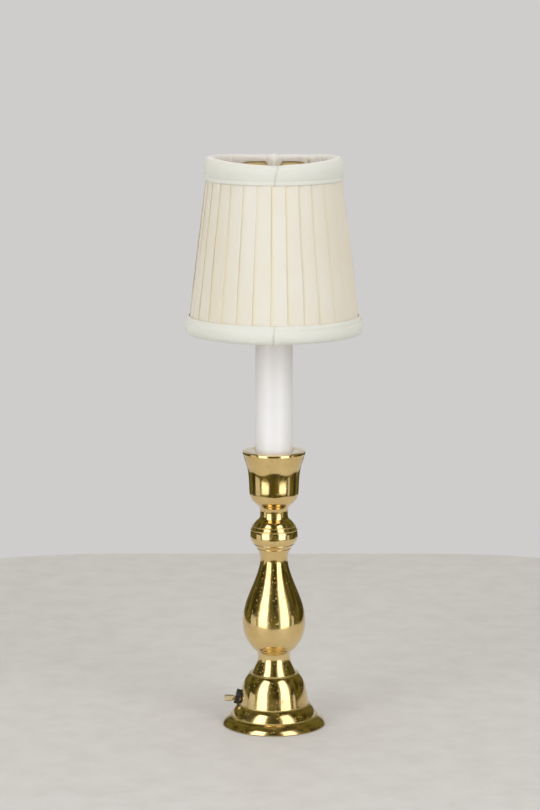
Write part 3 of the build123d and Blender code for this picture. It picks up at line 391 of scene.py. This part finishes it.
def foldAngle(index, share):
    # a fold's angle in degrees at a share of the height, with a slow wander
    turn, index = divmod(index, pleats["count"])
    lean = pleats["wander"] * wave(index * 1.37, share * 2.1, 4.0)
    return foldAngles[index] + 360 * turn + lean


def coverAngle(column, share):
    index, step = divmod(column, pathCount)
    here, last = foldAngle(index, share), foldAngle(index - 1, share)
    return last + (here - last) * pleatPath[step][0]


coverFlat = [0.0]
for column in range(coverColumns):
    a, b = (radians(coverAngle(c, 0.0)) for c in (column, column + 1))
    coverFlat.append(coverFlat[-1] + max(abs(b - a) * lowRadius, pleats["leastStep"]))


def coverPlace(column, row):
    share = row / (pleats["rows"] - 1)
    z = coverLow + (coverHigh - coverLow) * share
    index, step = divmod(column % coverColumns, pathCount)
    _, depth, fold = pleatPath[step]
    angle = radians(coverAngle(column, share) - 90)
    free = min(1.0, pleats["pressed"] * min(share, 1 - share))  # pressed flat under the trims
    loose = pleats["billow"] * (0.5 + wave(index * 2.3, share * 1.6, 9.0)) * free * sin(pi * share)
    ripple = pleats["unevenness"] * wave(angle * 9, share * 7, 1.0) * free
    deep = depth * mm * (pleats["deep"] + pleats["deepWander"] * wave(index * 3.1, share * 2.4, 2.0))
    easing = (coverAngle(column, share) + pleats["easeTurn"]) / pleats["easeWidth"]
    deep *= 1 - pleats["leftEase"] * math.exp(-easing ** 2)
    inset = pleats["lift"] + deep - loose * (1 - depth) - ripple
    radius = coneRadius(z, inset)
    # painted shade: each fold's crease darkened by its own strength
    strength = pleats["creaseShades"][index % len(pleats["creaseShades"])]
    strength += pleats["creaseWander"] * wave(index * 5.3, share * 3.0, 6.0)
    # partly pleat-to-pleat tone, partly painted shade: the front pleats' tints are palest at the front centre
    # and warmer and darker towards the sides, repeated round the back
    tint = pleats["tintsAndSideShade"][index % len(pleats["tintsAndSideShade"])]
    tint += pleats["tintWander"] * wave(index * 2.9, share * 2.0, 14.0)
    return (Vector((radius * cos(angle), radius * sin(angle), z)), (coverFlat[column], z - coverLow),
            min(1.0, max(0.0, fold * strength)), min(1.0, max(0.0, tint)))


pleatedCloth = clothPiece("pleatedCloth", grownSheet(coverColumns, pleats["rows"], coverPlace), "shade",
                          "cover_cloth", ["pleated_cover"], pleats["thickness"])
print("pleated cover:", pleats["count"], "pleats")


# A folded ribbon end at the back of the hem, and loose threads at the trims' edges

ribbon = {"turn": 2.50, "width": 2.9 * mm, "length": 6.6 * mm, "inset": 7.6 * mm, "bow": 0.5 * mm,
          "thickness": 0.25 * mm, "rise": 1.2 * mm, "twist": 0.4 * mm, "columns": 6, "rows": 10}
bm = bmesh.new()
uvTag = bm.loops.layers.uv.new("cloth")
bmesh.ops.create_grid(bm, x_segments=ribbon["columns"], y_segments=ribbon["rows"], size=0.5)
for face in bm.faces:
    for loop in face.loops:
        loop[uvTag].uv = (loop.vert.co.x * ribbon["width"], loop.vert.co.y * ribbon["length"])
for vert in bm.verts:
    across, share = vert.co.x, vert.co.y + 0.5
    angle = ribbon["turn"] - pi / 2 + across * ribbon["width"] / coneRadius(trimTop, ribbon["inset"])
    z = trimTop - ribbon["rise"] - ribbon["length"] * (1 - share)
    bow = ribbon["bow"] * sin(pi * share)
    radius = coneRadius(z, ribbon["inset"] + bow + ribbon["twist"] * across * share)
    vert.co = Vector((radius * cos(angle), radius * sin(angle), z))
bmesh.ops.recalc_face_normals(bm, faces=bm.faces)
ribbonMesh = bpy.data.meshes.new("ribbon")
bm.to_mesh(ribbonMesh)
bm.free()
ribbonEnd = clothPiece("ribbonEnd", ribbonMesh, "shade", "cover_cloth", [], ribbon["thickness"])


def grownTube(bm, path, widths, sides):
    # a round form along a path, from a circle extruded point by point
    facing = (path[1] - path[0]).to_track_quat("Z", "Y")
    place = Matrix.Translation(path[0]) @ facing.to_matrix().to_4x4()
    last = bmesh.ops.create_circle(bm, segments=sides, radius=widths[0], matrix=place, cap_ends=True)
    last = last["verts"]
    ring = [edge for edge in bm.edges if edge.verts[0] in last and edge.verts[1] in last]
    for here, before, width, widthBefore in zip(path[1:], path, widths[1:], widths):
        turned = (here - before).to_track_quat("Z", "Y")
        grown = bmesh.ops.extrude_edge_only(bm, edges=ring)["geom"]
        ring = [g for g in grown if isinstance(g, bmesh.types.BMEdge)]
        last = [g for g in grown if isinstance(g, bmesh.types.BMVert)]
        move = Matrix.Translation(here) @ (turned @ facing.inverted()).to_matrix().to_4x4()
        move = move @ Matrix.Scale(width / widthBefore, 4) @ Matrix.Translation(-before)
        bmesh.ops.transform(bm, matrix=move, verts=last)
        facing = turned
    bmesh.ops.holes_fill(bm, edges=ring, sides=sides)


threads = {"radius": 0.09 * mm, "sides": 6, "steps": 9, "out": 1.0 * mm, "start": 0.6,
           "bow": 0.9, "bowTurn": 1.2, "leanPower": 1.5, "fallPower": 1.7,
           # turn, height above the bottom rim, length and lean, in mm where not an angle
           "places": ((-0.085, 0.0, 2.6, 0.6), (-0.055, 0.1, 1.7, -0.5), (0.44, 0.2, 3.0, 0.9),
                      (0.47, 0.1, 2.2, -0.3), (0.50, 0.3, 3.2, 0.2), (-1.50, 11.0, 2.4, 0.7),
                      (1.45, 10.0, 3.0, -0.8), (1.50, 5.5, 2.2, 0.6))}
bm = bmesh.new()
for turn, height, length, lean in threads["places"]:
    outward = Vector((sin(turn), -cos(turn), 0))
    aside = Vector((cos(turn), sin(turn), 0))
    root = outward * coneRadius(trimBottom + height * mm, -threads["out"])
    root += Vector((0, 0, trimBottom + (height + threads["start"]) * mm))
    path = []
    for step in range(threads["steps"]):
        share = step / (threads["steps"] - 1)
        reach = outward * (threads["bow"] * sin(threads["bowTurn"] * share))
        reach += aside * (lean * share ** threads["leanPower"])
        reach -= Vector((0, 0, share ** threads["fallPower"]))
        path.append(root + reach * length * mm)
    grownTube(bm, path, [threads["radius"]] * len(path), threads["sides"])
bmesh.ops.recalc_face_normals(bm, faces=bm.faces)
threadMesh = bpy.data.meshes.new("threads")
bm.to_mesh(threadMesh)
bm.free()
looseThreads = clothPiece("looseThreads", threadMesh, "shade", "trim_cloth", [], 0)

# cloth wound round the clips' arms, from the ring over the knee and down the wire
wrap = {"radius": 1.55 * mm, "unevenness": 0.25 * mm, "sides": 20, "arm": 4.4 * mm, "kneeDrop": 1.2 * mm,
        "kneeIn": 0.9 * mm, "down": 10.0 * mm, "slope": 0.337, "steps": 22, "wire": 0.9 * mm, "gap": 0.8 * mm,
        "armShare": 0.3, "straight": 0.55, "bent": 0.45, "kneeRate": 3.4, "kneePower": 0.7, "fallPower": 1.25}
bm = bmesh.new()
for side, clipName in ((-1, "clip_front"), (1, "clip_back")):
    clipLow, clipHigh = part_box(clipName)
    wireZ = clipHigh.z - wrap["wire"]
    armEnd = max(abs(clipLow.y), abs(clipHigh.y))
    path, widths = [], []
    for step in range(wrap["steps"]):
        share = step / (wrap["steps"] - 1)
        if share < wrap["armShare"]:
            y, z = armEnd - wrap["gap"] - wrap["arm"] * share / wrap["armShare"] * wrap["straight"], wireZ
        else:
            fall = (share - wrap["armShare"]) / (1 - wrap["armShare"])
            z = wireZ - wrap["down"] * fall ** wrap["fallPower"]
            knee = min(1.0, wrap["kneeRate"] * fall) ** wrap["kneePower"]
            y = armEnd - wrap["gap"] - wrap["arm"] * wrap["straight"]
            y -= (wrap["arm"] * wrap["bent"] + wrap["kneeIn"]) * knee
            y -= wrap["slope"] * max(0.0, wireZ - z - wrap["kneeDrop"])
        path.append(Vector((0, side * y, z)))
        widths.append(wrap["radius"] + wrap["unevenness"] * wave(step * 0.9, side, 60.0))
    grownTube(bm, path, widths, wrap["sides"])
bmesh.ops.recalc_face_normals(bm, faces=bm.faces)
wrapMesh = bpy.data.meshes.new("wraps")
bm.to_mesh(wrapMesh)
bm.free()
clipWraps = clothPiece("clipWraps", wrapMesh, "shade", "trim_cloth", [], 0)
print("ribbon end, loose threads and wound arms")


# Trims: bands of cloth folded over the two rims, seamed at the front

# what both bands share: sizes in mm, turns and widths along the rim in radians, painted shade as a share, and
# the tint that picks the inner hem's paler painted colour
folding = {
    "lap": 0.30, "lapWidth": 0.10, "puckerWidth": 0.16, "puffWidth": 0.32, "puff": 0.3, "rimReach": 6.0,
    "dipTurn": 0.02, "bumpWidth": 0.045, "freeEdge": 2.5, "hemFreedom": 0.6, "hemStart": 0.42,
    "hemEase": 0.5, "bunchTurn": 2.05, "bunchWidth": 0.42, "bunch": 0.25, "seamWidth": 0.012,
    "seamShade": 0.7, "edgeShade": 0.35, "tintWander": 0.8, "inside": 2.0, "leastStep": 0.1,
}


def bandPlace(band, column, row):
    # the outline runs from the band's outer edge over the rim and down inside
    angle = 2 * pi * column / band["columns"] - pi / 2
    turn = math.remainder(angle + pi / 2, 2 * pi)  # 0 at the front
    back = abs(math.remainder(turn - pi, 2 * pi))
    drop, inset = band["outline"][row]
    outside = row < band["rimRow"]
    seamShare = (1 - drop / band["outline"][0][0]) ** 2
    seamMiddle = band["seamFoot"] + (band["seamHead"] - band["seamFoot"]) * seamShare
    seam = turn - seamMiddle * mm / coneRadius(band["rim"], 0)
    lap = folding["lap"] * math.exp(-seam / folding["lapWidth"]) if seam > 0 else 0.0
    wrinkle = band["wrinkle"] * wave(turn * 6, drop * 0.35, band["seed"])
    wrinkle += 0.5 * band["wrinkle"] * wave(turn * 21 + drop * 0.5, drop * 0.8, band["seed"] + 3)
    pucker = band["pucker"] * math.exp(-(seam / folding["puckerWidth"]) ** 2)
    wrinkle += pucker * wave(turn * 34 - drop * 0.6, drop * 0.25, band["seed"] + 5)
    puff = band["sidePuff"] * math.exp(-((abs(turn) - pi / 2) / folding["puffWidth"]) ** 2)
    if outside:
        wrinkle += puff * (folding["puff"] + wave(turn * 8, drop * 0.55, band["seed"] + 15))
    rimShare = max(0.0, 1 - drop / folding["rimReach"])
    lower = band["dip"] * math.exp(-((turn - folding["dipTurn"]) / band["dipWidth"]) ** 2)
    lower -= band["backBump"] * math.exp(-(back / folding["bumpWidth"]) ** 2)
    lower -= band["rimWave"] * wave(turn * 2.2, 0.0, band["seed"] + 8)
    lower -= band["sideLift"] * sin(turn) ** 2
    if outside:
        freedom = min(1.0, (band["outline"][0][0] - drop) / folding["freeEdge"])
    else:
        freedom = folding["hemFreedom"]
        hemShare = drop / band["outline"][-1][0]
        side = min(1.0, max(0.0, (back - folding["hemStart"]) / folding["hemEase"]))
        drop += hemShare * band["sideHem"] * side * side * (3 - 2 * side)
        for away in (back, abs(turn)):  # gathered round the clip's arms
            gather = math.exp(-(away / band["gatherWidth"]) ** 4)
            inset += band["gatherReach"] * gather * hemShare ** 0.3
            drop += band["gatherDrop"] * gather * hemShare ** 2
        bunching = (abs(turn) - folding["bunchTurn"]) / folding["bunchWidth"]
        bunch = band["bunch"] * math.exp(-bunching ** 2) * hemShare ** 0.4
        wrinkle -= bunch * (folding["bunch"] + wave(turn * 15 - drop * 1.1, drop * 0.5, band["seed"] + 12))
    z = band["rim"] + band["inward"] * (drop + lower * rimShare) * mm
    radius = coneRadius(z, (inset - (lap + wrinkle) * freedom) * mm)
    # painted shade along the seam's lap and the band's free edge, and a darker line along the stitch row
    ridge = band["stitchDark"] if row == band["stitchRow"] and turn > band["stitchFrom"] else 0.0
    seamShadow = folding["seamShade"] if abs(seam) < folding["seamWidth"] and outside else 0.0
    darker = max(ridge, seamShadow, folding["edgeShade"] if row == 0 else 0.0)
    around = column * 2 * pi / band["columns"] * coneRadius(band["rim"], 0)
    tint = 0.5 + folding["tintWander"] * wave(turn * 1.7, drop * 0.2, band["seed"] + 20)
    # painted light: rows inside the hem get the tint of 2 and the paler inside colour
    tint = min(1.0, max(0.0, tint)) if row < band["rimRow"] - 1 else folding["inside"]
    return (Vector((radius * cos(angle), radius * sin(angle), z)), (around, sum(band["steps"][:row])),
            darker, tint)


def trimBand(name, node, band):
    outline = band["outline"]
    band["steps"] = []
    for a, b in zip(outline, outline[1:]):
        band["steps"].append(mm * max(folding["leastStep"], sqrt((b[0] - a[0]) ** 2 + (b[1] - a[1]) ** 2)))
    mesh = grownSheet(band["columns"], len(outline), lambda column, row: bandPlace(band, column, row))
    piece = clothPiece(name, mesh, "shade", "trim_cloth", [node], band["thickness"])
    round_ = piece.modifiers.new("rounding", "SUBSURF")
    round_.levels = round_.render_levels = 1
    around = 2 * pi * coneRadius(band["rim"], 0)


# drop from the rim in mm and inset from the pleats' crests in mm
topOutline = (
    (12.0, -0.15), (11.6, -0.38), (10.6, -0.48), (9.6, -0.46), (9.3, -0.34), (9.0, -0.52), (7.6, -0.90),
    (5.6, -1.30), (3.6, -1.45), (2.0, -1.15), (0.9, -0.55), (0.25, 0.35), (0.0, 1.5), (0.05, 2.8),
    (0.45, 3.9), (1.2, 4.6), (2.1, 4.75), (3.0, 4.75), (3.9, 4.75),
)
bottomOutline = (
    (11.1, -0.25), (10.8, -0.55), (10.0, -0.85), (8.7, -1.15), (8.4, -1.22), (8.1, -1.50), (7.1, -1.85),
    (5.4, -2.10), (3.6, -1.95), (2.0, -1.35), (0.9, -0.55), (0.25, 0.25), (0.0, 1.3), (0.05, 2.7),
    (0.5, 3.9), (1.3, 4.6), (2.6, 4.75), (4.4, 4.75),
)
topBand = {
    "outline": topOutline, "rimRow": 12, "stitchRow": 4, "rim": trimTop - 0.3 * mm, "inward": -1,
    "columns": 420, "thickness": 0.5 * mm, "seamHead": 2.4, "seamFoot": 0.2, "wrinkle": 0.16,
    "pucker": 0.12, "seed": 11.0, "dip": 0.7, "dipWidth": 0.11, "backBump": 0.7, "rimWave": 0.3,
    "sideLift": 2.2, "sideHem": 3.0, "gatherWidth": 0.105, "gatherReach": 6.6, "gatherDrop": 7.5,
    "bunch": 3.4, "sidePuff": 1.6, "stitchDark": 0.5, "stitchFrom": -pi, "with": [ribbonEnd, clipWraps],
}
bottomBand = {
    "outline": bottomOutline, "rimRow": 12, "stitchRow": 4, "rim": trimBottom + 0.3 * mm, "inward": 1,
    "columns": 480, "thickness": 0.5 * mm, "seamHead": -0.4, "seamFoot": 0.0, "wrinkle": 0.24,
    "pucker": 0.38, "seed": 23.0, "dip": -0.7, "dipWidth": 0.035, "backBump": 0.0, "rimWave": 0.3,
    "sideLift": 0.0, "sideHem": 0.0, "gatherWidth": 0.1, "gatherReach": 0.0, "gatherDrop": 0.0,
    "bunch": 0.0, "sidePuff": 0.35, "stitchDark": 0.45, "stitchFrom": 0.3, "with": [looseThreads],
}
trimBand("topTrimBand", "top_trim", topBand)
trimBand("bottomTrimBand", "bottom_trim", bottomBand)
print("trims folded over the rims")


# Lining: a thin cone of cloth, slack between the ribs

liner = {"columns": 144, "rows": 80, "hemShadow": 4.3 * mm, "hemFade": 0.8 * mm, "inset": 4.0 * mm,
         "slack": 0.35 * mm, "ripple": 0.12 * mm, "thickness": 0.2 * mm, "ribs": 6, "belowRim": 2.0 * mm}
linerLow, linerHigh = coverLow + liner["belowRim"], coverHigh - liner["belowRim"]


def linerPlace(column, row):
    share = row / (liner["rows"] - 1)
    z = linerLow + (linerHigh - linerLow) * share
    angle = 2 * pi * column / liner["columns"]
    slack = liner["slack"] * (0.5 - 0.5 * cos(liner["ribs"] * angle)) * sin(pi * share)
    ripple = liner["ripple"] * wave(angle * 7, share * 4, 31.0)
    radius = coneRadius(z, liner["inset"] + slack + ripple)
    below = (trimTop - z - liner["hemShadow"]) / liner["hemFade"]  # painted shadow, dark just under the hem
    # the wave gives a faint random mottle; the rest is the painted shadow under the hem
    fold = max(0.25 * wave(angle * 11, share * 2, 40.0), 0.9 - 0.9 * min(1.0, max(0.0, below)))
    tint = 0.5 + 0.5 * wave(angle * 2, share * 3, 50.0)
    return Vector((radius * cos(angle), radius * sin(angle), z)), (angle * radius, z - linerLow), fold, tint


liningCloth = clothPiece("liningCloth", grownSheet(liner["columns"], liner["rows"], linerPlace), "shade",
                         "lining_cloth", ["lining"], liner["thickness"])
linerMiddle = coneRadius((linerLow + linerHigh) / 2, liner["inset"])
round(2 * pi * linerMiddle, 4)
round(linerHigh - linerLow, 4)
print("lining hung inside the ribs")


# Floor, lights, world and camera

table = {"left": -0.36, "right": 0.36, "front": -0.25, "back": 0.49, "thickness": 0.03, "below": 0.0001,
         "corner": 0.23, "shade": (0.66, 0.645, 0.62), "darker": (0.61, 0.595, 0.565)}
bm = bmesh.new()
bmesh.ops.create_cube(bm, size=1.0)
span = (table["right"] - table["left"], table["back"] - table["front"], table["thickness"])
bmesh.ops.scale(bm, vec=span, verts=bm.verts)
middle = (0, (table["back"] + table["front"]) / 2, -table["thickness"] / 2 - table["below"])
bmesh.ops.translate(bm, vec=middle, verts=bm.verts)
upright = [edge for edge in bm.edges if abs(edge.verts[0].co.z - edge.verts[1].co.z) > table["below"]]
bmesh.ops.bevel(bm, geom=upright, offset=table["corner"], segments=16, profile=0.5, affect="EDGES",
                material=-1)
floorMesh = bpy.data.meshes.new("floor")
bm.to_mesh(floorMesh)
bm.free()
floor = bpy.data.objects.new("floor", floorMesh)
bpy.context.scene.collection.objects.link(floor)
floor.data.materials.append(plasticFinish("paleFloor", table["shade"], table["darker"], 0.55, 0.00001, 300.0))

# what glossy rays meet is a dark, yellowish room, and the backdrop only in a cone behind the lamp
studio = {"backdrop": (0.62, 0.61, 0.605), "room": (0.150, 0.138, 0.038),
          "corner": (0.044, 0.039, 0.012), "fill": (1.0, 0.975, 0.935),
          "fillStrength": 0.41, "overhead": 0.38, "behind": 0.36, "lamps": (0.975, 0.99, 1.03)}
world = bpy.data.worlds.new("studio")
bpy.context.scene.world = world
world.use_nodes = True
world.node_tree.nodes.clear()
air = Wire(world.node_tree)
ray = air.node("ShaderNodeLightPath")
seen, glossy = ray.output("Is Camera Ray"), ray.output("Is Glossy Ray")
through = ray.output("Is Transmission Ray")
aimFrom = air.node("ShaderNodeTexCoord", out=0)
aim = air.node("ShaderNodeSeparateXYZ", None, {0: aimFrom})
aimY, aimZ = aim.output(1), aim.output(2)
corners = aimFrom.noise(2.6, 2.0, 0.5).between(0.38, 0.62).blend(studio["room"], studio["corner"])
reflected = aimY.between(0.86, 0.98).blend(corners, studio["backdrop"])
plain = seen.math("MAXIMUM", seen, through)
tone = glossy.blend(studio["fill"], reflected)
tone = plain.blend(tone, studio["backdrop"])
level = glossy.math("MAXIMUM", glossy, plain)
overhead = aimZ.between(0.1, 1.0) * studio["overhead"] + studio["fillStrength"]
overhead = aimY.between(-0.2, 0.9) * studio["behind"] + overhead
strength = level + (1 - level) * overhead
light = air.node("ShaderNodeBackground", None, {"Color": tone, "Strength": strength})
worldOut = world.node_tree.nodes.new("ShaderNodeOutputWorld")
world.node_tree.links.new(light.socket, worldOut.inputs[0])


def softbox(name, azimuth, distance, low, high, width, radiance):
    # azimuth in degrees from -Y, positive to the right
    lamp = bpy.data.lights.new(name, "AREA")
    lamp.shape, lamp.size, lamp.size_y = "RECTANGLE", width, high - low
    lamp.color = studio["lamps"]
    lamp.energy = radiance * pi * width * (high - low)
    holder = bpy.data.objects.new(name, lamp)
    bpy.context.scene.collection.objects.link(holder)
    holder.location = (distance * sin(radians(azimuth)), -distance * cos(radians(azimuth)), (low + high) / 2)
    holder.rotation_euler = (pi / 2, 0, radians(azimuth))
    holder.visible_camera = False


for lampRow in (
    ("leftSoftbox", -41, 1.45, -0.30, 2.1, 0.84, 1.95),
    ("leftHalo", -41, 1.47, -0.34, 2.14, 1.20, 0.32),
    ("rightSoftbox", 40, 1.45, -0.30, 2.1, 0.80, 1.95),
    ("rightHalo", 40, 1.47, -0.34, 2.14, 1.16, 0.32),
    ("leftCard", -80, 1.45, -0.40, 0.15, 0.66, 0.62),
    ("rightCard", 72, 1.45, -0.40, 0.15, 0.26, 0.62),
):
    softbox(*lampRow)

camera = bpy.data.objects.new("camera", bpy.data.cameras.new("camera"))
bpy.context.scene.collection.objects.link(camera)
# the photograph's own camera, fitted to the ellipses of base, cup and shade
view = {"distance": 1.780, "height": 0.5056, "down": 9.636, "aside": -0.0025, "focalPixels": 2912,
        "longSide": 810, "sensor": 36.0}
camera.location = (view["aside"], -view["distance"], view["height"])
camera.rotation_euler = (radians(90 - view["down"]), 0, 0)
camera.data.sensor_width = view["sensor"]
camera.data.lens = view["focalPixels"] / view["longSide"] * camera.data.sensor_width
bpy.context.scene.camera = camera
bpy.context.scene.view_settings.view_transform = "Standard"

print("scene ready")
